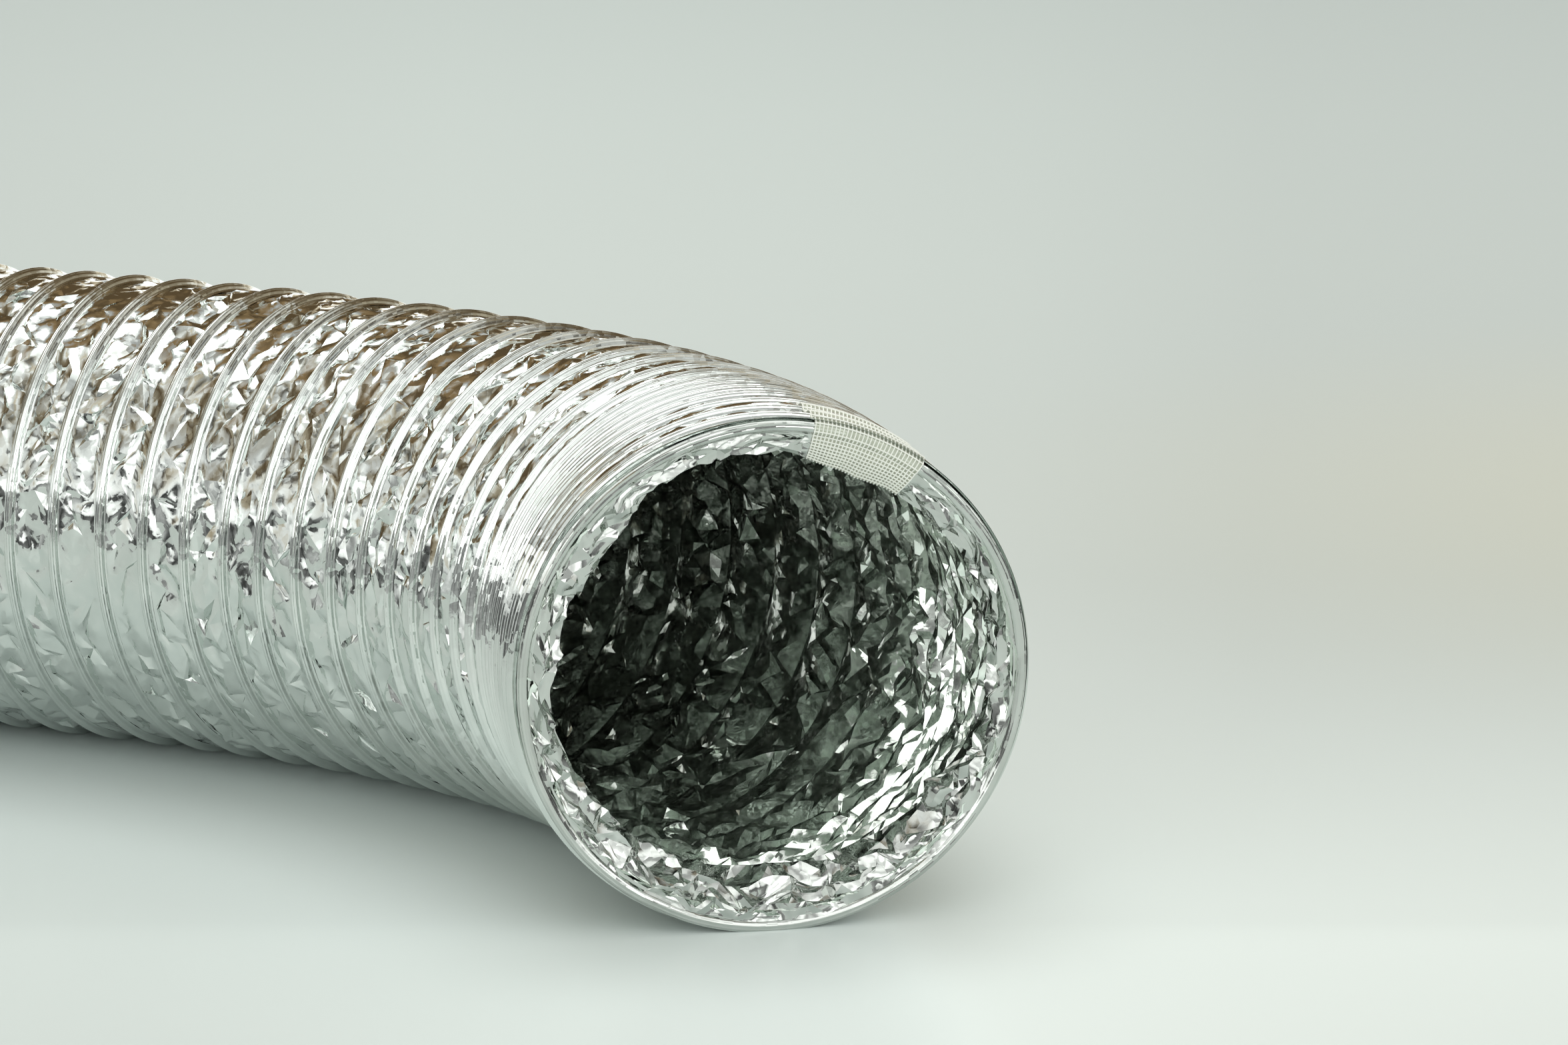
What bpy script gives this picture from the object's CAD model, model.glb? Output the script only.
"""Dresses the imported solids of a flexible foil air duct: two crumpled foil plies over a spring-wire helix."""

import math

import bpy
import numpy as np
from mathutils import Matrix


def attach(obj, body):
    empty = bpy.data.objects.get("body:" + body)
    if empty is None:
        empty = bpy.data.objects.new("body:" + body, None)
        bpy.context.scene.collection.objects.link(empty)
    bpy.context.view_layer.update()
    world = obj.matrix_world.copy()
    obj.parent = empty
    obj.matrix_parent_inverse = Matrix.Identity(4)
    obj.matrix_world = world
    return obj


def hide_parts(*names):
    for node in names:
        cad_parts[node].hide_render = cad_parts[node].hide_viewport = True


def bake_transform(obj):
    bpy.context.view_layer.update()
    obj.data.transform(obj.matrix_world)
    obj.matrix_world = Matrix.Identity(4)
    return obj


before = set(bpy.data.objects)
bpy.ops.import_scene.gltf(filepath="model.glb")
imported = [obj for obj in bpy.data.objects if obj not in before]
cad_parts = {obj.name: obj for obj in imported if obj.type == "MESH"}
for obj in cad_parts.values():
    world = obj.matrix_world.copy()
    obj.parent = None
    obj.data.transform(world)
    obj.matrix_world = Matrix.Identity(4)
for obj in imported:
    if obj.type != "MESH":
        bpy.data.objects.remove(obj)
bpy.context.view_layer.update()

MM = 0.001

# ---------------------------------------------------------------- the duct's layout, as in the part's source

STRETCHES = (
    "bend_1", "stretch_1", "lift_1", "stretch_2", "bend_2", "stretch_3", "lift_2", "stretch_4", "bend_3",
)
BODIES = ("mouth_end",) + STRETCHES[:-1] + ("far_end",)
HOOP_TURNS = (4, 9, 13, 15, 19, 21, 25, 27, 31, 33)

CREST_R = 54 * MM
FILM_R = 52.45 * MM
FILM_CREASE = 1.05 * MM
BEAD_FOOT_R = 52.4 * MM
BEAD_RISE = 1.62 * MM
BEAD_WIDTH = 3.6 * MM
LINING_R = 51.35 * MM
LIP_CREASE = 1.45
WIRE_R = 52.2 * MM
WIRE_D = 1.0 * MM
FLOOR_Z = -53.5 * MM

PACK_PITCH = 4.5 * MM
OPEN_PITCH = 13 * MM
OPENING_PITCHES = [6.5 * MM, 9.5 * MM]
PACK_SPACES, OPEN_SPACES = 7, 24
PACK = [PACK_PITCH] * PACK_SPACES
SPACES = PACK + OPENING_PITCHES + [OPEN_PITCH] * OPEN_SPACES + PACK
ALONG = np.concatenate(([0.0], np.cumsum(SPACES))) + PACK_PITCH / 2
TURNS = len(ALONG)
LENGTH = float(ALONG[-1] + PACK_PITCH / 2)

BEND_END = 280 * MM
BEND_ANGLE = math.radians(55)
END_SWING = math.radians(2)
STRAIGHT = ALONG[HOOP_TURNS[0]]

# Places along the duct where one arc ends and the next starts, with the heading at each
KNOTS = np.array([0.0] + [ALONG[i] for i in HOOP_TURNS] + [LENGTH])
_share = np.clip((KNOTS - STRAIGHT) / (BEND_END - STRAIGHT), 0, 1)
HEADINGS = BEND_ANGLE * (1 - (1 - _share) ** 2)
HEADINGS[-2:] += END_SWING  # the last stretch swings a little further
CURVES = np.diff(HEADINGS) / np.diff(KNOTS)


def arc_step(segment, ds):
    """How far an arc carries the middle in ds, and its heading there."""
    start, curve = HEADINGS[segment], CURVES[segment]
    heading = start + curve * ds
    bent = np.abs(curve) > 1e-6
    safe = np.where(bent, curve, 1.0)
    x = np.where(bent, (np.cos(heading) - np.cos(start)) / safe, -np.sin(start) * ds)
    y = np.where(bent, (np.sin(heading) - np.sin(start)) / safe, np.cos(start) * ds)
    return x, y, heading


KNOT_X, KNOT_Y = [0.0], [0.0]
for _k in range(len(CURVES)):
    _x, _y, _ = arc_step(_k, KNOTS[_k + 1] - KNOTS[_k])
    KNOT_X.append(KNOT_X[-1] + float(_x))
    KNOT_Y.append(KNOT_Y[-1] + float(_y))
KNOT_X, KNOT_Y = np.array(KNOT_X), np.array(KNOT_Y)


def skin(s, phi, r):
    """The point at distance s along the duct, angle phi from the top towards +X, and radius r."""
    s, phi, r = np.broadcast_arrays(np.asarray(s, float), phi, r)
    segment = np.clip(np.searchsorted(KNOTS, s, "right") - 1, 0, len(CURVES) - 1)
    x, y, heading = arc_step(segment, s - KNOTS[segment])
    side = r * np.sin(phi)
    x, y = KNOT_X[segment] + x + side * np.cos(heading), KNOT_Y[segment] + y + side * np.sin(heading)
    return np.stack([x, y, r * np.cos(phi)], axis=-1)


def outward(s, phi):
    """The direction out of the skin."""
    return skin(s, phi, 1.0) - skin(s, phi, 0.0)


# ---------------------------------------------------------------- the helix

SEAM = math.radians(10)  # where the wire and the plies start, under the tape
SPARE = 4  # turns counted past each end, for what is cut off there
_turn_marks = np.arange(-SPARE, TURNS + SPARE)
_along_marks = np.concatenate(
    (ALONG[0] - PACK_PITCH * np.arange(SPARE, 0, -1), ALONG, ALONG[-1] + PACK_PITCH * np.arange(1, SPARE + 1))
)

# How far each of the first turns stands away from the mouth where they fan open, in millimetres
FAN = (0, 3.6, 7.0, 9.8, 11.6, 12.4, 12.6, 12.2, 11.0, 9.0, 6.6, 4.4, 2.4, 0.9, 0)
FAN_MIDDLE = math.radians(25)
FAN_BREADTH = 0.45  # how much wider the first turns' beads are where they fan open


def fanned(q):
    """Nought to one: how near the fan's middle the bead is after q turns from the seam."""
    return 0.5 + 0.5 * np.cos(SEAM + 2 * math.pi * q - FAN_MIDDLE)


def bead_breadth(q):
    """A bead's width as a multiple of BEAD_WIDTH."""
    return 1 + np.interp(q, (0, 4, 6.5), (FAN_BREADTH, FAN_BREADTH, 0)) * fanned(q)


def bead_line(q):
    """Distance along the duct of the bead after q turns from the seam. It wanders a little."""
    place = np.interp(q - 0.5, _turn_marks, _along_marks)
    place = place + np.interp(q - 0.5, np.arange(len(FAN)), FAN) * MM * fanned(q)
    open_share = np.clip((q - 7) / 3, 0, 1) * np.clip((34 - q) / 2, 0, 1)
    wander = 0.22 * np.sin(2 * math.pi * q * 1.37 + 0.4) + 0.16 * np.sin(2 * math.pi * q * 3.21 + 2.1)
    return place + wander * MM * (0.25 + 0.75 * open_share)


# ---------------------------------------------------------------- creased foil


def facet_grid(rows, columns, rng, closed=False):
    """A sheet of scattered corners: the corners as (row, share across, height), which of them hold still, and
    the triangles."""
    u, w = np.meshgrid(np.arange(rows + 1.0), np.linspace(0, 1, columns + 1), indexing="ij")
    inner = (w > 0.001) & (w < 0.999)
    u = u + inner * rng.uniform(-0.43, 0.43, u.shape)
    w = w + inner * rng.uniform(-0.43, 0.43, w.shape) / columns
    h = rng.uniform(-1, 1, u.shape)
    still = ~inner
    if closed:
        u[-1], w[-1], h[-1] = u[0] + rows, w[0], h[0]
        still[0] = still[-1] = True
    numbers = np.arange(u.size).reshape(u.shape)
    a, b, c, d = numbers[:-1, :-1], numbers[1:, :-1], numbers[1:, 1:], numbers[:-1, 1:]
    turned = rng.random(a.shape) < 0.5
    first = np.stack([a, b, np.where(turned, d, c)], axis=-1).reshape(-1, 3)
    second = np.stack([np.where(turned, b, a), c, d], axis=-1).reshape(-1, 3)
    return np.stack([u.ravel(), w.ravel(), h.ravel()], axis=1), still.ravel(), np.concatenate([first, second])


def halved(corners, still, triangles, rng, spread):
    """Splits each facet in four, with the new corners moved a little off the middles of its edges."""
    sides = np.concatenate([triangles[:, [0, 1]], triangles[:, [1, 2]], triangles[:, [2, 0]]])
    sides, where = np.unique(np.sort(sides, axis=1), axis=0, return_inverse=True)
    ab, bc, ca = where.reshape(3, -1) + len(corners)
    a, b, c = triangles.T
    held = still[sides].all(axis=1)
    moved = rng.uniform(-1, 1, (len(sides), 3)) * spread * ~held[:, None]
    corners = np.concatenate([corners, corners[sides].mean(axis=1) + moved])
    parts = [(a, ab, ca), (ab, b, bc), (ca, bc, c), (ab, bc, ca)]
    return corners, np.concatenate([still, held]), np.concatenate([np.stack(part, axis=1) for part in parts])


def eased(x):
    x = np.clip(x, 0, 1)
    return x * x * (3 - 2 * x)


def calm(phi, s):
    """How lively the creases are, from place to place."""
    waves = np.sin(3 * phi + 41 * s + 0.7) + np.sin(5 * phi - 67 * s + 2.2) + np.sin(2 * phi + 113 * s + 4.1)
    return 0.78 + 0.14 * waves


# ---------------------------------------------------------------- materials


def new_material(name):
    material = bpy.data.materials.new(name)
    material.use_nodes = True
    tree = material.node_tree
    return material, tree, tree.nodes["Principled BSDF"]


def noise(tree, coordinate, scale, detail, rough=0.5):
    node = tree.nodes.new("ShaderNodeTexNoise")
    node.inputs["Scale"].default_value = scale
    node.inputs["Detail"].default_value = detail
    node.inputs["Roughness"].default_value = rough
    tree.links.new(coordinate, node.inputs["Vector"])
    return node.outputs["Fac"]


def ranged(tree, value, low, high, to_low, to_high, clamp=True, kind="LINEAR"):
    """Value carried over from low..high to to_low..to_high."""
    node = tree.nodes.new("ShaderNodeMapRange")
    node.clamp, node.interpolation_type = clamp, kind
    tree.links.new(value, node.inputs["Value"])
    for name, number in (("From Min", low), ("From Max", high), ("To Min", to_low), ("To Max", to_high)):
        node.inputs[name].default_value = number
    return node.outputs["Result"]


def mixed(tree, factor, first, second):
    """The first colour where factor is 0 and the second where it is 1. Each is a socket or three numbers."""
    node = tree.nodes.new("ShaderNodeMix")
    node.data_type = "RGBA"
    tree.links.new(factor, node.inputs["Factor"])
    for socket, source in (("A", first), ("B", second)):
        if isinstance(source, bpy.types.NodeSocket):
            tree.links.new(source, node.inputs[socket])
        else:
            node.inputs[socket].default_value = (*source, 1)
    return node.outputs["Result"]


def vector_math(tree, operation, first, second):
    """A vector node of two inputs, each a socket or three numbers."""
    node = tree.nodes.new("ShaderNodeVectorMath")
    node.operation = operation
    for socket, source in zip(node.inputs, (first, second)):
        if isinstance(source, bpy.types.NodeSocket):
            tree.links.new(source, socket)
        else:
            socket.default_value = source
    return node


def unit_way(tree, way):
    node = tree.nodes.new("ShaderNodeVectorMath")
    node.operation = "NORMALIZE"
    tree.links.new(way, node.inputs[0])
    return node.outputs[0]


def along_way(tree, place, way):
    """How far a place lies along a direction."""
    return vector_math(tree, "DOT_PRODUCT", place, way).outputs["Value"]


def ramped(tree, value, stops):
    """A colour for each value, straight between the stops."""
    node = tree.nodes.new("ShaderNodeValToRGB")
    tree.links.new(value, node.inputs[0])
    ramp = node.color_ramp
    for place, _ in stops[1:-1]:
        ramp.elements.new(place)
    for element, (place, colour) in zip(ramp.elements, stops):
        element.position, element.color = place, (*colour, 1)
    return node.outputs[0]


def bumped(tree, height, strength, distance, onto=None):
    node = tree.nodes.new("ShaderNodeBump")
    node.inputs["Strength"].default_value = strength
    node.inputs["Distance"].default_value = distance
    tree.links.new(height, node.inputs["Height"])
    if onto is not None:
        tree.links.new(onto, node.inputs["Normal"])
    return node.outputs["Normal"]


def facet_normal(tree, place, onto, size, tilt):
    """Small flat facets, each tilted its own way from the surface."""
    cells = tree.nodes.new("ShaderNodeTexVoronoi")
    cells.inputs["Scale"].default_value = 1 / size
    tree.links.new(place, cells.inputs["Vector"])
    centred = vector_math(tree, "SUBTRACT", cells.outputs["Color"], (0.5, 0.5, 0.5))
    leaned = vector_math(tree, "MULTIPLY_ADD", centred.outputs[0], (2 * tilt, 2 * tilt, 2 * tilt))
    tree.links.new(onto, leaned.inputs[2])
    return unit_way(tree, leaned.outputs[0])


DUST_START, DUST_FULL = 62 * MM, 135 * MM  # from the nearer open end's middle


def dusted(tree, place, clean, deep):
    """The lining's colour: clean foil near the two open ends, and dusty foil further in."""
    nearest = tree.nodes.new("ShaderNodeMath")
    nearest.operation = "MINIMUM"
    for socket, end in zip(nearest.inputs, (skin(0.0, 0.0, 0.0), skin(LENGTH, 0.0, 0.0))):
        tree.links.new(vector_math(tree, "DISTANCE", place, tuple(map(float, end))).outputs["Value"], socket)
    return mixed(tree, ranged(tree, nearest.outputs[0], DUST_START, DUST_FULL, 0, 1), clean, deep)


def foil(name, bright, dull, rough_low, rough_high, crinkle, facet_size, facet_tilt, deep=None):
    """Bare foil laminate: a mirror, dulled in patches, with small facets and fine handling crinkles."""
    material, tree, shader = new_material(name)
    place = tree.nodes.new("ShaderNodeTexCoord").outputs["Object"]
    patches = noise(tree, place, 70, 4)
    colour = mixed(tree, ranged(tree, patches, 0.35, 0.68, 0, 1), bright, dull)
    if deep is not None:
        colour = dusted(tree, place, colour, deep)
    tree.links.new(colour, shader.inputs["Base Color"])
    scuffs = noise(tree, place, 420, 5, 0.6)
    tree.links.new(ranged(tree, scuffs, 0.35, 0.7, rough_low, rough_high), shader.inputs["Roughness"])
    fine = bumped(tree, noise(tree, place, 1500, 2), crinkle * 0.5, 0.02 * MM)
    wide = bumped(tree, noise(tree, place, 330, 3), crinkle, 0.12 * MM, fine)
    tree.links.new(facet_normal(tree, place, wide, facet_size, facet_tilt), shader.inputs["Normal"])
    shader.inputs["Metallic"].default_value = 1.0
    return material


OUTER_FOIL = foil("outer_foil", (0.715, 0.75, 0.725), (0.64, 0.68, 0.655), 0.04, 0.13, 0.30, 1.9 * MM, 0.045)
INNER_FOIL = foil(
    "inner_foil", (0.90, 0.955, 0.90), (0.83, 0.89, 0.83), 0.08, 0.20, 0.35, 1.5 * MM, 0.08,
    deep=(0.37, 0.40, 0.365),
)
LIP_FOIL = foil("lip_foil", (0.58, 0.605, 0.58), (0.50, 0.53, 0.50), 0.04, 0.12, 0.3, 2.2 * MM, 0.05)


def wire_steel():
    material, tree, shader = new_material("spring_wire")
    place = tree.nodes.new("ShaderNodeTexCoord").outputs["Object"]
    drawn = noise(tree, place, 900, 4)
    tree.links.new(mixed(tree, drawn, (0.42, 0.41, 0.40), (0.56, 0.55, 0.53)), shader.inputs["Base Color"])
    tree.links.new(ranged(tree, drawn, 0.3, 0.7, 0.25, 0.42), shader.inputs["Roughness"])
    tree.links.new(bumped(tree, drawn, 0.2, 0.02 * MM), shader.inputs["Normal"])
    shader.inputs["Metallic"].default_value = 1.0
    return material


def tape_film():
    material, tree, shader = new_material("tape_film")
    place = tree.nodes.new("ShaderNodeTexCoord").outputs["Object"]
    age = noise(tree, place, 160, 3)
    tree.links.new(mixed(tree, age, (0.60, 0.64, 0.50), (0.72, 0.75, 0.63)), shader.inputs["Base Color"])
    tree.links.new(ranged(tree, age, 0.3, 0.7, 0.42, 0.62), shader.inputs["Alpha"])
    tree.links.new(ranged(tree, noise(tree, place, 700, 3), 0.3, 0.7, 0.12, 0.30), shader.inputs["Roughness"])
    tree.links.new(bumped(tree, noise(tree, place, 500, 3), 0.4, 0.08 * MM), shader.inputs["Normal"])
    return material


def scrim_thread():
    material, tree, shader = new_material("scrim_thread")
    place = tree.nodes.new("ShaderNodeTexCoord").outputs["Object"]
    strands = noise(tree, place, 1800, 3)
    tree.links.new(mixed(tree, strands, (0.80, 0.82, 0.74), (0.93, 0.94, 0.90)), shader.inputs["Base Color"])
    tree.links.new(ranged(tree, strands, 0.3, 0.7, 0.3, 0.5), shader.inputs["Roughness"])
    tree.links.new(bumped(tree, strands, 0.5, 0.04 * MM), shader.inputs["Normal"])
    return material


WIRE_STEEL, TAPE_FILM, SCRIM_THREAD = wire_steel(), tape_film(), scrim_thread()


# ---------------------------------------------------------------- meshes


def new_object(name, mesh):
    thing = bpy.data.objects.new(name, mesh)
    bpy.context.scene.collection.objects.link(thing)
    return thing


def face_mesh(name, points, faces):
    """A smooth mesh of faces with three or four corners each."""
    sides = faces.shape[1]
    mesh = bpy.data.meshes.new(name)
    mesh.vertices.add(len(points))
    mesh.vertices.foreach_set("co", np.ascontiguousarray(points, np.float32).ravel())
    mesh.loops.add(faces.size)
    mesh.loops.foreach_set("vertex_index", np.ascontiguousarray(faces, np.int32).ravel())
    mesh.polygons.add(len(faces))
    mesh.polygons.foreach_set("loop_start", np.arange(0, faces.size, sides, dtype=np.int32))
    mesh.update(calc_edges=True)
    mesh.polygons.foreach_set("use_smooth", np.ones(len(faces), bool))
    return mesh


def grid_faces(rows, columns, flipped=False, closed=False):
    grid = np.arange(rows * columns).reshape(rows, columns)
    if closed:
        grid = np.concatenate([grid, grid[:1]])
    a, b, c, d = grid[:-1, :-1], grid[1:, :-1], grid[1:, 1:], grid[:-1, 1:]
    return np.stack([a, d, c, b] if flipped else [a, b, c, d], axis=-1).reshape(-1, 4)


def store(mesh, name, kind, values):
    attribute = mesh.attributes.new(name, kind, "POINT")
    field = "vector" if kind == "FLOAT_VECTOR" else "value"
    attribute.data.foreach_set(field, np.ascontiguousarray(values, np.float32).ravel())


def read_out(sequence, field, width, kind=np.float32):
    out = np.zeros(len(sequence) * width, kind)
    sequence.foreach_get(field, out)
    return out.reshape(-1, width)


def places(mesh):
    return read_out(mesh.vertices, "co", 3).astype(float)


def welded(points):
    """Which corners share a place, to a tenth of a micron."""
    marks = np.round(points * 1e7).astype(np.int64)
    _, first, where = np.unique(marks, axis=0, return_index=True, return_inverse=True)
    return first, where.ravel()


# ---------------------------------------------------------------- geometry node trees


class Tree:
    """A geometry node tree with named inputs that ends in Realize Instances and Set Material."""

    def __init__(self, name, sizes):
        self.tree = bpy.data.node_groups.new(name, "GeometryNodeTree")
        face = self.tree.interface
        face.new_socket("Geometry", in_out="INPUT", socket_type="NodeSocketGeometry")
        for label, value in sizes.items():
            kind = "NodeSocketInt" if isinstance(value, int) else "NodeSocketFloat"
            face.new_socket(label, in_out="INPUT", socket_type=kind).default_value = value
        face.new_socket("Finish", in_out="INPUT", socket_type="NodeSocketMaterial")
        face.new_socket("Geometry", in_out="OUTPUT", socket_type="NodeSocketGeometry")
        self.input = self.tree.nodes.new("NodeGroupInput")

    def node(self, kind, links=None, **settings):
        node = self.tree.nodes.new(kind)
        for key, value in settings.items():
            setattr(node, key, value)
        for key, source in (links or {}).items():
            if isinstance(source, bpy.types.NodeSocket):
                self.tree.links.new(source, node.inputs[key])
            else:
                node.inputs[key].default_value = source
        return node

    def attribute(self, name, kind="FLOAT"):
        named = self.node("GeometryNodeInputNamedAttribute", {"Name": name}, data_type=kind)
        return named.outputs["Attribute"]

    def math(self, operation, first, second):
        return self.node("ShaderNodeMath", {0: first, 1: second}, operation=operation).outputs[0]

    def finish(self, geometry):
        real = self.node("GeometryNodeRealizeInstances", {"Geometry": geometry})
        finished = self.node(
            "GeometryNodeSetMaterial", {"Geometry": real.outputs[0], "Material": self.input.outputs["Finish"]}
        )
        out = self.tree.nodes.new("NodeGroupOutput")
        self.tree.links.new(finished.outputs[0], out.inputs[0])
        return self.tree

    def applied(self, thing, finish, **sizes):
        """The mesh that the tree makes of a thing."""
        modifier = thing.modifiers.new(self.tree.name, "NODES")
        modifier.node_group = self.tree
        values = {key.replace("_", " "): value for key, value in sizes.items()}
        for item in self.tree.interface.items_tree:
            if item.item_type == "SOCKET" and item.in_out == "INPUT":
                if item.name in values:
                    modifier[item.identifier] = values[item.name]
                elif item.name == "Finish":
                    modifier[item.identifier] = finish
        bpy.context.view_layer.update()
        graph = bpy.context.evaluated_depsgraph_get()
        mesh = bpy.data.meshes.new_from_object(
            thing.evaluated_get(graph), preserve_all_data_layers=True, depsgraph=graph
        )
        thing.modifiers.remove(modifier)
        return mesh


# A bead's rise across its width: the foil climbs over the wire, and steps down over its own lap
BEAD_PROFILE = (
    (0.0, 0.0), (0.07, 0.04), (0.14, 0.28), (0.19, 0.55), (0.235, 0.66), (0.27, 0.69), (0.31, 0.88),
    (0.36, 0.985), (0.42, 1.0), (0.475, 0.95), (0.52, 0.83), (0.55, 0.74), (0.585, 0.735), (0.63, 0.765),
    (0.67, 0.73), (0.70, 0.60), (0.735, 0.52), (0.78, 0.53), (0.83, 0.44), (0.88, 0.22), (0.94, 0.04),
    (1.0, 0.0),
)


def bead_tree():
    make = Tree("helical_bead", {"Bead rise": BEAD_RISE, "Bead width": BEAD_WIDTH})
    at = make.input.outputs
    share = make.math("ADD", make.math("DIVIDE", make.attribute("from_bead"), at["Bead width"]), 0.5)
    profile = make.node("ShaderNodeFloatCurve", {"Value": share})
    curve = profile.mapping.curves[0]
    curve.points[0].location, curve.points[1].location = BEAD_PROFILE[0], BEAD_PROFILE[-1]
    for point in BEAD_PROFILE[1:-1]:
        curve.points.new(*point)
    profile.mapping.extend = "HORIZONTAL"
    profile.mapping.update()
    rise = make.math("MULTIPLY", profile.outputs[0], at["Bead rise"])
    lift = make.node(
        "ShaderNodeVectorMath",
        {0: make.attribute("outward", "FLOAT_VECTOR"), "Scale": rise},
        operation="SCALE",
    )
    moved = make.node("GeometryNodeSetPosition", {"Geometry": at["Geometry"], "Offset": lift.outputs[0]})
    make.finish(moved.outputs[0])
    return make


def strand_tree():
    make = Tree("strand_along_path", {"Thickness": WIRE_D, "Sides": 10})
    at = make.input.outputs
    path = make.node("GeometryNodeMeshToCurve", {"Mesh": at["Geometry"]})
    radius = make.math("DIVIDE", at["Thickness"], 2.0)
    ring = make.node("GeometryNodeCurvePrimitiveCircle", {"Resolution": at["Sides"], "Radius": radius})
    tube = make.node(
        "GeometryNodeCurveToMesh",
        {"Curve": path.outputs[0], "Profile Curve": ring.outputs[0], "Fill Caps": True},
    )
    smooth = make.node("GeometryNodeSetShadeSmooth", {"Geometry": tube.outputs[0]})
    make.finish(smooth.outputs[0])
    return make


BEAD, STRAND = bead_tree(), strand_tree()

# ---------------------------------------------------------------- the plies

CREASE_ANGLE = math.radians(17)  # facets that meet more sharply than this have a hard crease between them


def skin_of(mesh, s_values, crease=None):
    """A ply's triangles: the places, distances along the duct and normals of their corners."""
    settled = places(mesh)
    settled[:, 2] = np.maximum(settled[:, 2], FLOOR_Z)
    mesh.vertices.foreach_set("co", settled.astype(np.float32).ravel())
    mesh.update()
    if crease is not None:
        mesh.set_sharp_from_angle(angle=crease)
    loops = read_out(mesh.loop_triangles, "loops", 3, np.int32)
    vertices = read_out(mesh.loop_triangles, "vertices", 3, np.int32)
    normals = read_out(mesh.corner_normals, "vector", 3).astype(float)
    return settled[vertices], s_values[vertices], normals[loops]


def trimmed(corners, low, high):
    """One triangle, cut off at two places along the duct. A corner is its place, normal and distance along."""
    for limit, sign in ((low, 1), (high, -1)):
        kept = []
        for i, here in enumerate(corners):
            there = corners[(i + 1) % len(corners)]
            inside, next_inside = sign * (here[6] - limit) >= 0, sign * (there[6] - limit) >= 0
            if inside:
                kept.append(here)
            if inside != next_inside:
                # always from the lower end, so that two neighbours are cut at the same point
                one, other = (here, there) if here[6] < there[6] else (there, here)
                kept.append(one + (other - one) * ((limit - one[6]) / (other[6] - one[6])))
        corners = kept
    return corners


def cut_out(skins, low, high):
    """The triangles of several skins that lie between two places along the duct."""
    points, normals = [], []
    for place, s, normal in skins:
        least, most = s.min(axis=1), s.max(axis=1)
        whole = (least >= low) & (most <= high)
        points.append(place[whole])
        normals.append(normal[whole])
        crossing = ~whole & (most > low) & (least < high)
        rows = np.concatenate([place[crossing], normal[crossing], s[crossing][..., None]], axis=2)
        pieces = []
        for corners in rows:
            left = trimmed(list(corners), low, high)
            pieces.extend((left[0], left[i], left[i + 1]) for i in range(1, len(left) - 1))
        if pieces:
            pieces = np.array(pieces)
            points.append(pieces[..., :3])
            normals.append(pieces[..., 3:6])
    return np.concatenate(points), np.concatenate(normals)


def cut_piece(name, skins, low, high):
    points, normals = cut_out(skins, low, high)
    first, where = welded(points.reshape(-1, 3))
    faces = where.reshape(-1, 3)
    sound = (faces[:, 0] != faces[:, 1]) & (faces[:, 1] != faces[:, 2]) & (faces[:, 2] != faces[:, 0])
    mesh = face_mesh(name, points.reshape(-1, 3)[first], faces[sound])
    shading = normals[sound].reshape(-1, 3)
    shading /= np.maximum(np.linalg.norm(shading, axis=1, keepdims=True), 1e-9)
    mesh.normals_split_custom_set(shading.tolist())
    return mesh


def wound_bead(per_turn, rows):
    """The bead that the outer ply has over the wire, from edge to edge."""
    q = np.arange(-2 * per_turn, (TURNS + 2) * per_turn + 1) / per_turn
    off = np.asarray(rows)[None, :] * MM
    s = bead_line(q)[:, None] + off * bead_breadth(q)[:, None]
    s, phi = np.broadcast_arrays(s, (SEAM + 2 * math.pi * q)[:, None])
    mesh = face_mesh("bead", skin(s, phi, BEAD_FOOT_R).reshape(-1, 3), grid_faces(*s.shape))
    thing = new_object("bead", mesh)
    store(mesh, "from_bead", "FLOAT", np.broadcast_to(off, s.shape))
    store(mesh, "outward", "FLOAT_VECTOR", outward(s, phi))
    raised = BEAD.applied(thing, OUTER_FOIL, Bead_rise=BEAD_RISE, Bead_width=BEAD_WIDTH)
    bpy.data.objects.remove(thing)
    return skin_of(raised, s.ravel())


def wound_sheet(name, per_turn, columns, seed, spreads, edge, radius, inside_out):
    """A creased sheet that is wound from bead to bead."""
    rng = np.random.default_rng(seed)
    corners, still, triangles = facet_grid((TURNS + 4) * per_turn, columns, rng)
    for spread in spreads:
        moves = np.array([0.1, 0.1 / columns, 1.0]) * spread
        corners, still, triangles = halved(corners, still, triangles, rng, moves)
    q = corners[:, 0] / per_turn - 2
    near, far = bead_line(q) + edge, bead_line(q + 1) - edge
    s, phi = near + corners[:, 1] * (far - near), SEAM + 2 * math.pi * q
    r = radius(s, phi, corners[:, 1], corners[:, 2], far - near + 2 * edge)
    if inside_out:
        triangles = triangles[:, ::-1]
    mesh = face_mesh(name, skin(s, phi, r), triangles)
    return skin_of(mesh, s, CREASE_ANGLE)


def film_r(s, phi, share, height, pitch):
    """Radius of the outer ply's film between its beads."""
    slack = np.interp(pitch / MM, (4.5, 6, 9, 12), (0.12, 0.20, 0.55, 1))
    stand = np.interp(pitch / MM, (4.5, 5.3, 7.5, 9, 12), (0.0, 0.45, 0.70, 0.55, -0.15)) * MM
    free = np.clip(np.sin(math.pi * share) * 1.7, 0, 1)
    r = FILM_R + (FILM_CREASE * height * calm(phi, s) * slack + stand) * free
    return np.maximum(r, LINING_R + 0.27 * MM)


def lining_r(s, phi, share, height, pitch):
    """Radius of the inner ply. It is held out at the wire and sags between turns."""
    sag = np.interp(pitch / MM, (4.5, 7.5, 13), (2.0, 2.9, 2.0))
    crease = np.interp(pitch / MM, (4.5, 7.5, 13), (1.15, 1.7, 1.85))
    free = np.clip(np.sin(math.pi * share) * 1.5, 0, 1)
    r = LINING_R - (sag * np.sin(math.pi * share) - crease * height * calm(phi, s) * free) * MM
    return np.minimum(r, LINING_R + 0.2 * MM)


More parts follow.
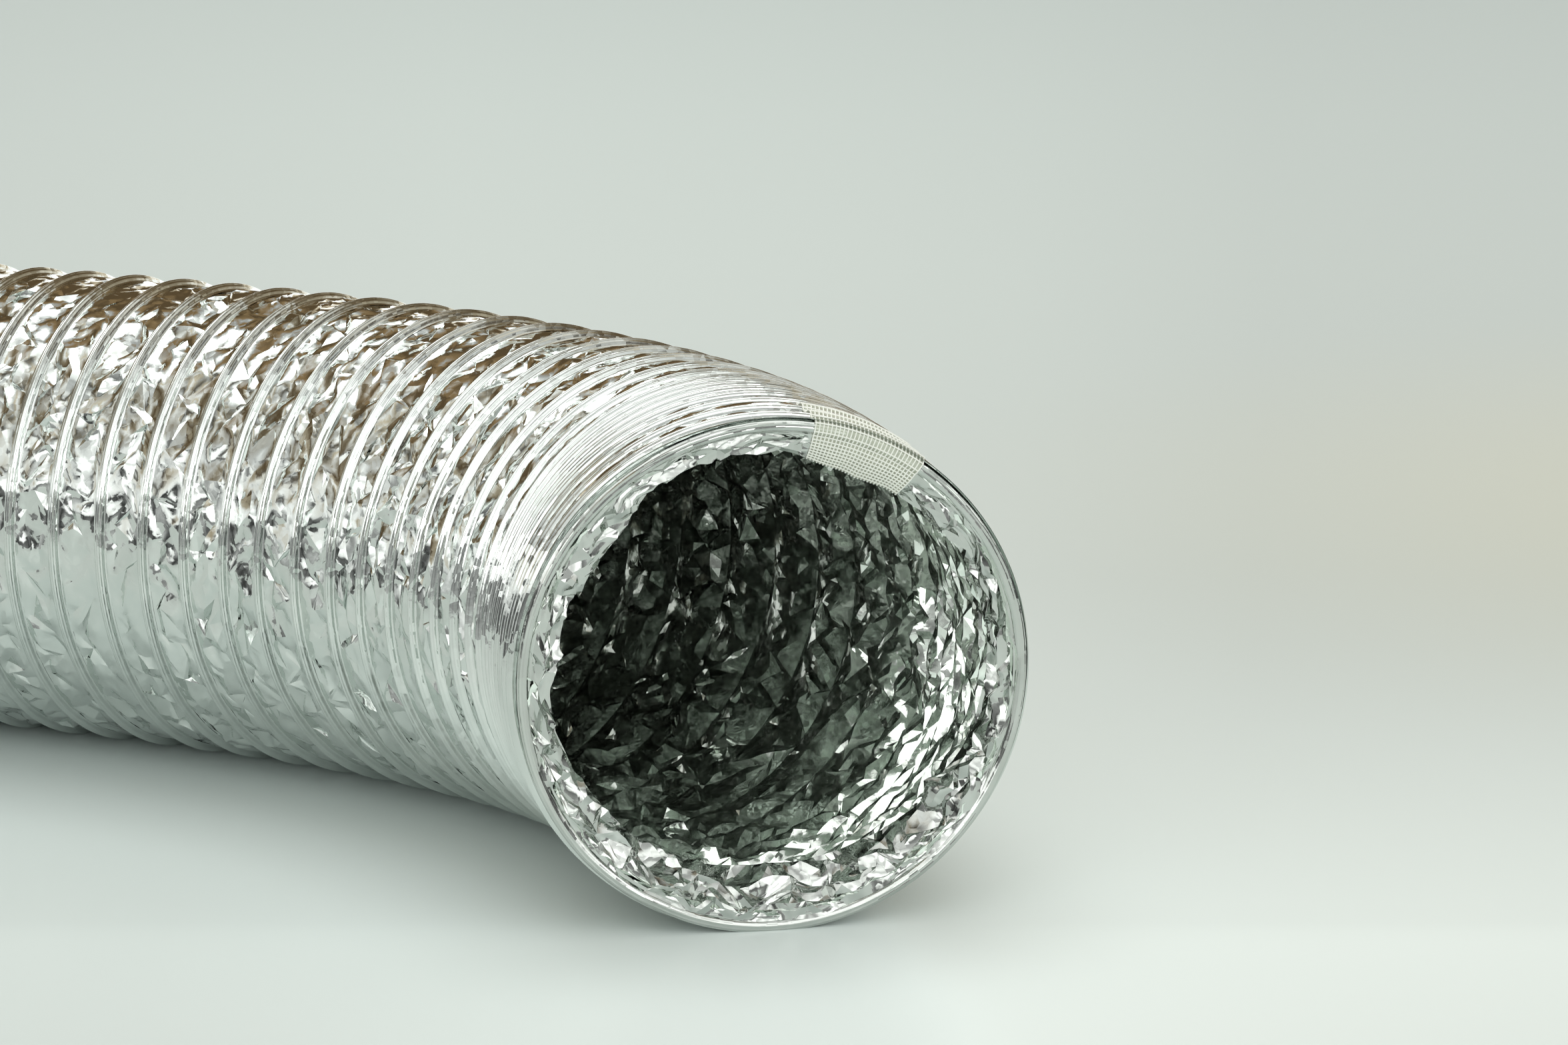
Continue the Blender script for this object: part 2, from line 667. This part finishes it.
def joined_across(piece, k):
    """Stretch k's piece bends or slides with the joint in it."""
    start, end = KNOTS[k + 1], KNOTS[k + 2]
    first, last = skin(start, 0.0, 0.0), skin(end, 0.0, 0.0)
    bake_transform(piece)


def placed(piece, k):
    """A piece of part k of the duct: -1 is the mouth, 0 to 8 the stretches, 9 the far end."""
    if k < 0:
        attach(piece, BODIES[0])
    elif k >= len(STRETCHES):
        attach(piece, BODIES[-1])
    else:
        joined_across(piece, k)


PARTS = [("mouth", -1)] + [(name, k) for k, name in enumerate(STRETCHES)] + [("far", len(STRETCHES))]


def dress_ply(label, finish, node, skins):
    for name, k in PARTS:
        piece = new_object(f"{name}_{label}", cut_piece(f"{name}_{label}", skins, KNOTS[k + 1], KNOTS[k + 2]))
        piece.data.materials.append(finish)
        replaced = [f"{name}_{node}"]
        if node == "outer_ply" and 0 <= k < len(STRETCHES) - 1:
            replaced.append(f"{name}_hoop")
        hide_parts(*replaced)
        placed(piece, k)


BEAD_ROWS = (
    -1.8, -1.55, -1.3, -1.12, -0.98, -0.85, -0.72, -0.58, -0.43, -0.28, -0.13, 0.0,
    0.09, 0.18, 0.28, 0.40, 0.53, 0.64, 0.74, 0.86, 1.0, 1.14, 1.30, 1.50, 1.8,
)
film = wound_sheet("outer_film", 84, 3, 11, (0.24, 0.09), 1.4 * MM, film_r, False)
dress_ply("outer_film", OUTER_FOIL, "outer_ply", [film, wound_bead(240, BEAD_ROWS)])

lining = wound_sheet("lining", 88, 4, 21, (0.36,), 0.0, lining_r, True)
dress_ply("lining", INNER_FOIL, "inner_ply", [lining])

# ---------------------------------------------------------------- the spring wire


def polyline(name, paths):
    """Edges along each path, for a strand to follow."""
    points, edges, at = [], [], 0
    for path in paths:
        points.extend(map(tuple, path))
        edges.extend((at + i, at + i + 1) for i in range(len(path) - 1))
        at += len(path)
    mesh = bpy.data.meshes.new(name)
    mesh.from_pydata(points, edges, [])
    return mesh


def strands(name, paths, thickness, sides, finish):
    guide = new_object(f"{name}_guide", polyline(f"{name}_guide", paths))
    mesh = STRAND.applied(guide, finish, Thickness=thickness, Sides=sides)
    bpy.data.objects.remove(guide)
    mesh.name = name
    return new_object(name, mesh)


WIRE_STEPS = 96


def q_at(s):
    """Turns from the seam at which the bead passes a place along the duct."""
    marks = np.arange(-200, (TURNS + 2) * 200) / 200
    return float(np.interp(s, bead_line(marks), marks))


for name, k in PARTS:
    start, end = KNOTS[k + 1], KNOTS[k + 2]
    q_start = max(q_at(start), 0.004) if k < 0 else q_at(start)
    q_end = min(q_at(end), TURNS - 0.004)
    steps = max(3, int((q_end - q_start) * WIRE_STEPS))
    q = np.linspace(q_start, q_end, steps)
    path = skin(np.clip(bead_line(q), 0.55 * MM, LENGTH - 0.55 * MM), SEAM + 2 * math.pi * q, WIRE_R)
    wire = strands(f"{name}_spring_wire", [path], WIRE_D, 10, WIRE_STEEL)
    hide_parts(f"{name}_wire")
    placed(wire, k)

# ---------------------------------------------------------------- the folded lips and the tape at the ends

# The lip's free edge: angle from the top in degrees, radius and depth into the duct in millimetres
LIP_EDGE = (
    (0, 46.8, 3), (12, 44.9, 3), (24, 43.7, 3.6), (37, 44.9, 3.6), (50, 45.9, 4.8), (62, 46.7, 5.4),
    (75, 46.8, 6), (90, 46.7, 6.6), (115, 45.8, 7.8), (122, 44.9, 7.8), (127, 42.2, 7.2), (131, 44.7, 7.8),
    (140, 44.2, 9),
    (160, 42.8, 9.6), (180, 42, 9.6), (200, 42.8, 9), (221, 43.3, 7.2), (232, 43.3, 6.6), (239, 43.7, 6),
    (251, 44.2, 5.4), (260, 45.1, 4.8), (267, 45, 4.5), (271, 44.2, 4.2), (280, 43.3, 4.2), (288, 44.1, 4.2),
    (294, 44, 4.2), (306, 42.4, 3.9), (318, 43.1, 3.6), (324, 46, 3.3), (333, 45.8, 3.3), (351, 46.8, 3),
    (360, 46.8, 3),
)
TAPE_MIDDLE, TAPE_HALF = math.radians(23), math.radians(13.25)
RIM_TURN = math.radians(155)  # how far the film rolls round the end wire before it is a flap
RIM_SHARE = 0.2  # the rim's part of the way from the film's outside to its free edge
RIM_R, RIM_DEPTH = 1.35, 1.0  # the rim's own radius, and how deep its middle lies, in millimetres
# Fine ridges along the rim: how many degrees round it, and their height in millimetres
RIM_LINES = ((38, 0.10), (66, 0.13), (97, 0.10))
LIP_FRONT, LIP_OUTSIDE_R = -0.42, 54.3  # the lip keeps behind and within these, in millimetres


def film_r_at(s, phi):
    """Radius of the outer ply with its beads, near an end."""
    q = (phi - SEAM) / (2 * math.pi) % 1
    best = np.full(np.broadcast(s, phi).shape, 1.0)
    for turn in range(-1, 3):
        off = (s - bead_line(q + turn)) / (BEAD_WIDTH * bead_breadth(q + turn))
        best = np.where(np.abs(off) < np.abs(best), off, best)
    profile = np.interp(best + 0.5, *np.array(BEAD_PROFILE).T)
    return BEAD_FOOT_R + BEAD_RISE * profile


def lip_surface(seed, shift, phi, v):
    """Radius and depth of the lip without its creases: a rim up to RIM_SHARE, and a flap to its free edge."""
    rng = np.random.default_rng(seed)
    angle = (np.degrees(phi) + shift) % 360
    marks = np.array(LIP_EDGE)
    edge_r = np.interp(angle, marks[:, 0], marks[:, 1])
    edge_y = np.interp(angle, marks[:, 0], marks[:, 2])
    for waves in (13, 29, 53):
        edge_r = edge_r + 3.0 / waves * rng.uniform(0.5, 1) * np.sin(waves * phi + rng.uniform(0, 6.28))
    outer_r = film_r_at(np.full_like(phi, 1.6 * MM), phi) / MM + 0.1
    turn = np.clip(v / RIM_SHARE, 0, 1) * RIM_TURN
    lines = 0.0
    for at, high in RIM_LINES:
        wave = np.radians(at + 4 * np.sin(2 * phi + at) + 2 * np.sin(7 * phi + at))
        lines = lines + high * np.exp(-(((turn - wave) / math.radians(7)) ** 2))
    rim = RIM_R + lines
    rim_r, rim_y = outer_r - RIM_R + rim * np.cos(turn), RIM_DEPTH - rim * np.sin(turn)
    flap = np.clip((v - RIM_SHARE) / (1 - RIM_SHARE), 0, 1)
    start_r, start_y = outer_r - RIM_R + RIM_R * math.cos(RIM_TURN), RIM_DEPTH - RIM_R * math.sin(RIM_TURN)
    flap_r = start_r + (edge_r - start_r) * flap**0.85
    flap_y = start_y + (edge_y - start_y) * flap**1.7
    return np.where(v < RIM_SHARE, rim_r, flap_r), np.where(v < RIM_SHARE, rim_y, flap_y)


def lip_point(seed, shift, phi, v, far, lift=0.0):
    """A point of the lip, lifted off it by so many millimetres."""
    r, y = lip_surface(seed, shift, phi, v)
    r_on, y_on = lip_surface(seed, shift, phi, v + 0.01)
    way = np.hypot(r_on - r, y_on - y) + 1e-9
    off_r, off_y = (y - y_on) / way, (r_on - r) / way
    depth = np.maximum(y + lift * off_y, LIP_FRONT) * MM
    return skin(LENGTH - depth if far else depth, phi, np.minimum(r + lift * off_r, LIP_OUTSIDE_R) * MM)


def thickened(thing, thickness):
    modifier = thing.modifiers.new("thickness", "SOLIDIFY")
    modifier.thickness = thickness
    modifier.offset = 0
    bpy.context.view_layer.update()
    graph = bpy.context.evaluated_depsgraph_get()
    mesh = bpy.data.meshes.new_from_object(thing.evaluated_get(graph), depsgraph=graph)
    thing.modifiers.remove(modifier)
    thing.data = mesh


def fold_lip(name, seed, shift, far, body):
    """The film's loose end, rolled over the end wire and crumpled against the lining."""
    rng = np.random.default_rng(seed + 40)
    around, deep = 80, 4
    corners, still, triangles = facet_grid(around, deep, rng, closed=True)
    for spread in (0.36, 0.07):
        moves = np.array([0.1, 0.1 / deep, 1.0]) * spread
        corners, still, triangles = halved(corners, still, triangles, rng, moves)
    phi = corners[:, 0] / around * 2 * math.pi
    share = corners[:, 1]
    start = RIM_SHARE * (0.93 + 0.10 * np.sin(9 * phi + seed) + 0.07 * np.sin(23 * phi + 2 * seed))
    from_tape = np.abs((phi - TAPE_MIDDLE + math.pi) % (2 * math.pi) - math.pi)
    bare = eased((from_tape - TAPE_HALF) / math.radians(2.5))
    lift = 0.06 + LIP_CREASE * corners[:, 2] * np.clip(share * 5, 0, 1) * bare
    flap = lip_point(seed, shift, phi, start + (1 - start) * share, far, lift)
    first, where = welded(flap)
    flap_faces = where[triangles if far else triangles[:, ::-1]]

    rim_around, rim_rows = 400, 30
    rim_turns = np.arange(rim_around) / rim_around * 2 * math.pi
    rim_phi, rim_v = np.meshgrid(rim_turns, np.linspace(0, RIM_SHARE * 1.25, rim_rows), indexing="ij")
    rim = lip_point(seed, shift, rim_phi, rim_v, far)
    quads = grid_faces(rim_around, rim_rows, far, closed=True)
    rim_faces = np.concatenate([quads[:, [0, 1, 2]], quads[:, [0, 2, 3]]])
    points = np.concatenate([flap[first], rim.reshape(-1, 3)])
    lip = new_object(name, face_mesh(name, points, np.concatenate([flap_faces, rim_faces + len(first)])))
    lip.data.materials.append(LIP_FOIL)
    thickened(lip, 0.08 * MM)
    lip.data.set_sharp_from_angle(angle=CREASE_ANGLE)
    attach(lip, body)


# Each end's seed and how far its lip is turned round from the mouth's, in degrees
MOUTH_LIP, FAR_LIP = (3, 0), (5, 140)
fold_lip("mouth_folded_lip", *MOUTH_LIP, False, "mouth_end")
fold_lip("far_folded_lip", *FAR_LIP, True, "far_end")

# In millimetres: how far the tape reaches outside and inside, how far apart its threads are, and thicknesses
TAPE_OUTSIDE, TAPE_INSIDE = 19, 15
THREADS_ALONG, THREADS_ACROSS = 0.88, 1.3
TAPE_THICKNESS, THREAD_THICKNESS = 0.1, 0.32


def tape_path(seed, shift, phi, t, far, lift):
    """A point of the tape, t millimetres past where the rim starts: below zero on the duct's outside, and
    above zero over the rim and inside."""
    s = np.where(t < 0, -t, 0.0)
    below = [film_r_at((np.maximum(s, 0.6) + off) * MM, phi) / MM for off in (-0.7, -0.35, 0, 0.35, 0.7)]
    r = np.maximum(np.max(below, axis=0), 53.1) + 0.14 + lift
    depth = (RIM_DEPTH + s) * MM
    body = skin(LENGTH - depth if far else depth, phi, r * MM)
    inner = lip_point(seed, shift, phi, np.clip(t / 15.5, 0, 1.08), far, 0.22 + lift)
    return np.where((t < 0)[..., None], body, inner)


def lay_tape(end, seed, shift, far, body):
    t = np.arange(-TAPE_OUTSIDE, TAPE_INSIDE + 0.01, 0.5)
    phi = TAPE_MIDDLE + np.linspace(-TAPE_HALF, TAPE_HALF, 56)
    phi, t = np.broadcast_arrays(phi[:, None], t[None, :])
    points = tape_path(seed, shift, phi, t, far, 0.0)
    name = f"{end}_tape_film"
    tape = new_object(name, face_mesh(name, points.reshape(-1, 3), grid_faces(*t.shape, flipped=not far)))
    tape.data.materials.append(TAPE_FILM)
    thickened(tape, TAPE_THICKNESS * MM)
    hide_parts(f"{end}_tape")
    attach(tape, body)
    lengthwise = [
        tape_path(seed, shift, np.full(t.shape[1], p), t[0], far, 0.12)
        for p in TAPE_MIDDLE + np.arange(-TAPE_HALF + 0.004, TAPE_HALF, THREADS_ALONG * MM / CREST_R)
    ]
    crosswise = [
        tape_path(seed, shift, phi[:, 0], np.full(t.shape[0], place), far, 0.16)
        for place in np.arange(0.4 - TAPE_OUTSIDE, TAPE_INSIDE, THREADS_ACROSS)
    ]
    threads = strands(f"{end}_tape_threads", lengthwise + crosswise, THREAD_THICKNESS * MM, 6, SCRIM_THREAD)
    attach(threads, body)


lay_tape("mouth", *MOUTH_LIP, False, "mouth_end")
lay_tape("far", *FAR_LIP, True, "far_end")

# ---------------------------------------------------------------- floor, light and camera

CAMERA_HEADING = math.radians(11.67)

# The table's tone by distance from the camera, from its near edge (0) to far back (1)
FLOOR_TONES = (
    (0.000, 0.92), (0.048, 0.95), (0.0535, 0.945), (0.0590, 0.90), (0.10, 0.85),
    (0.16, 0.765), (0.24, 0.675), (0.36, 0.645), (0.52, 0.63), (0.72, 0.59), (1.0, 0.51),
)
# Its tone from left (0) to right (1), near the camera and further back
NEAR_TONES = ((0.0, 0.81), (0.12, 0.82), (0.30, 0.88), (0.46, 0.95), (0.65, 0.97), (0.84, 0.93), (1.0, 0.91))
FAR_TONES = ((0.0, 0.92), (0.30, 1.0), (0.50, 0.98), (0.65, 0.94), (0.80, 0.86), (1.0, 0.84))
WARM_SPOT = (0.550, 0.570, 0.480)  # a soft patch of the table, far back on the right


def grey_stops(tones):
    return [(at, (tone, tone, tone)) for at, tone in tones]


def studio_floor():
    """A pale table that reaches far back, a little whiter in front of the duct and warmer to its right."""
    xs, ys = np.linspace(-3.2, 3.2, 24), np.linspace(-2.6, 3.6, 24)
    points = np.array([[(x, y, FLOOR_Z) for y in ys] for x in xs])
    faces = grid_faces(*points.shape[:2])
    floor = new_object("studio_floor", face_mesh("studio_floor", points.reshape(-1, 3), faces))
    material, tree, shader = new_material("studio_floor")
    place = tree.nodes.new("ShaderNodeTexCoord").outputs["Object"]
    ahead, aside = math.sin(CAMERA_HEADING), math.cos(CAMERA_HEADING)
    depth = along_way(tree, place, (ahead, aside, 0))
    across = along_way(tree, place, (aside, -ahead, 0))
    back = ranged(tree, depth, -0.10, 1.70, 0, 1)
    tone = ramped(tree, back, [(at, ((0.915 - 0.09 * at) * v, v, 0.975 * v)) for at, v in FLOOR_TONES])
    from_camera = ranged(tree, depth, -0.10, 0.90, 0.987, 1.987, clamp=False)
    swing = tree.nodes.new("ShaderNodeMath")
    swing.operation = "DIVIDE"
    tree.links.new(across, swing.inputs[0])
    tree.links.new(from_camera, swing.inputs[1])
    side = ranged(tree, swing.outputs[0], -0.15, 0.15, 0, 1)
    evened = mixed(
        tree,
        ranged(tree, depth, 0.02, 0.26, 0, 1),
        ramped(tree, side, grey_stops(NEAR_TONES)),
        ramped(tree, side, grey_stops(FAR_TONES)),
    )
    dimmed = vector_math(tree, "MULTIPLY", tone, evened)
    spot = tree.nodes.new("ShaderNodeCombineXYZ")
    tree.links.new(ranged(tree, across, 0.34, 0.64, 0, 1, clamp=False), spot.inputs[0])
    tree.links.new(ranged(tree, depth, 0.42, 0.72, 0, 1, clamp=False), spot.inputs[1])
    from_spot = tree.nodes.new("ShaderNodeVectorMath")
    from_spot.operation = "LENGTH"
    tree.links.new(spot.outputs[0], from_spot.inputs[0])
    warm = ranged(tree, from_spot.outputs["Value"], 1.15, 0.0, 0, 1, kind="SMOOTHSTEP")
    tree.links.new(mixed(tree, warm, dimmed.outputs[0], WARM_SPOT), shader.inputs["Base Color"])
    shader.inputs["Roughness"].default_value = 0.30
    shader.inputs["Specular IOR Level"].default_value = 0.12
    floor.data.materials.append(material)


studio_floor()

# What the foil mirrors: the room in four directions round the table, as bands of light and dark one over
# another. Each band has its height, from the horizon (0) to overhead (1), its brightness and its colour.
PALE, WARM, BOARDS = (1.0, 1.01, 0.99), (1.17, 1.0, 0.72), (1.5, 1.0, 0.5)
ROOM_FRONT = (
    (0.00, 0.35, PALE), (0.17, 0.15, PALE), (0.22, 0.90, PALE), (0.30, 1.55, PALE), (0.38, 1.80, PALE),
    (0.46, 0.95, PALE), (0.54, 0.70, PALE), (0.62, 1.10, PALE), (0.70, 1.25, PALE), (0.80, 0.95, PALE),
    (0.86, 0.50, PALE), (0.92, 0.40, PALE), (1.00, 0.95, PALE),
)
ROOM_NEAR_SIDE = (
    (0.00, 0.03, PALE), (0.17, 0.03, PALE), (0.22, 0.70, PALE), (0.30, 0.90, PALE), (0.38, 0.90, PALE),
    (0.46, 0.05, PALE), (0.54, 0.60, PALE), (0.62, 0.50, PALE), (0.74, 0.20, WARM), (0.80, 0.05, WARM),
    (0.86, 0.05, WARM), (0.93, 0.17, WARM), (1.00, 0.95, PALE),
)
ROOM_FAR_SIDE = (
    (0.00, 0.40, PALE), (0.11, 0.80, PALE), (0.20, 0.75, PALE), (0.30, 0.30, WARM), (0.38, 0.25, WARM),
    (0.46, 0.05, BOARDS), (0.62, 0.20, WARM), (0.74, 0.80, PALE), (0.80, 0.45, WARM), (0.86, 0.70, PALE),
    (0.92, 1.90, PALE), (1.00, 0.95, PALE),
)
ROOM_BACK = (
    (0.00, 0.70, PALE), (0.11, 1.00, PALE), (0.17, 1.00, PALE), (0.22, 0.50, WARM), (0.30, 0.055, BOARDS),
    (0.54, 0.055, BOARDS), (0.72, 0.15, BOARDS), (0.80, 0.34, PALE), (0.86, 0.80, PALE), (0.92, 3.10, PALE),
    (1.00, 0.95, PALE),
)
# Where one direction's bands give way to the next one's: how far back a direction points, from -1 to 1
ROOM_TURNS = ((-0.80, -0.36, ROOM_NEAR_SIDE), (-0.36, 0.35, ROOM_FAR_SIDE), (0.35, 0.86, ROOM_BACK))
ROOM_STRENGTH = 1.48


def room_bands(tree, height, bands):
    return ramped(tree, height, [(at, tuple(level * part for part in colour)) for at, level, colour in bands])


def studio_light():
    """The room: a bright front, sides with dark strips, warm boards behind, and soft light above."""
    world = bpy.data.worlds.new("studio")
    bpy.context.scene.world = world
    world.use_nodes = True
    tree = world.node_tree
    tree.nodes.clear()
    way = tree.nodes.new("ShaderNodeTexCoord").outputs["Generated"]
    height = along_way(tree, way, (0, 0, 1))
    level_way = unit_way(tree, vector_math(tree, "MULTIPLY", way, (1, 1, 0)).outputs[0])
    backward = along_way(tree, level_way, (0, 1, 0))
    room = room_bands(tree, height, ROOM_FRONT)
    for low, high, bands in ROOM_TURNS:
        room = mixed(tree, ranged(tree, backward, low, high, 0, 1), room, room_bands(tree, height, bands))
    background = tree.nodes.new("ShaderNodeBackground")
    background.inputs["Strength"].default_value = ROOM_STRENGTH
    tree.links.new(room, background.inputs[0])
    out = tree.nodes.new("ShaderNodeOutputWorld")
    tree.links.new(background.outputs[0], out.inputs[0])


studio_light()

camera_data = bpy.data.cameras.new("camera")
camera_data.lens = 126.35
camera_data.sensor_width = 36
camera = new_object("camera", camera_data)
camera.location = (-0.2173, -1.0649, 0.2645)
camera.rotation_euler = (math.radians(90 - 12.07), 0, -CAMERA_HEADING)
bpy.context.scene.camera = camera
bpy.context.scene.view_settings.view_transform = "Standard"
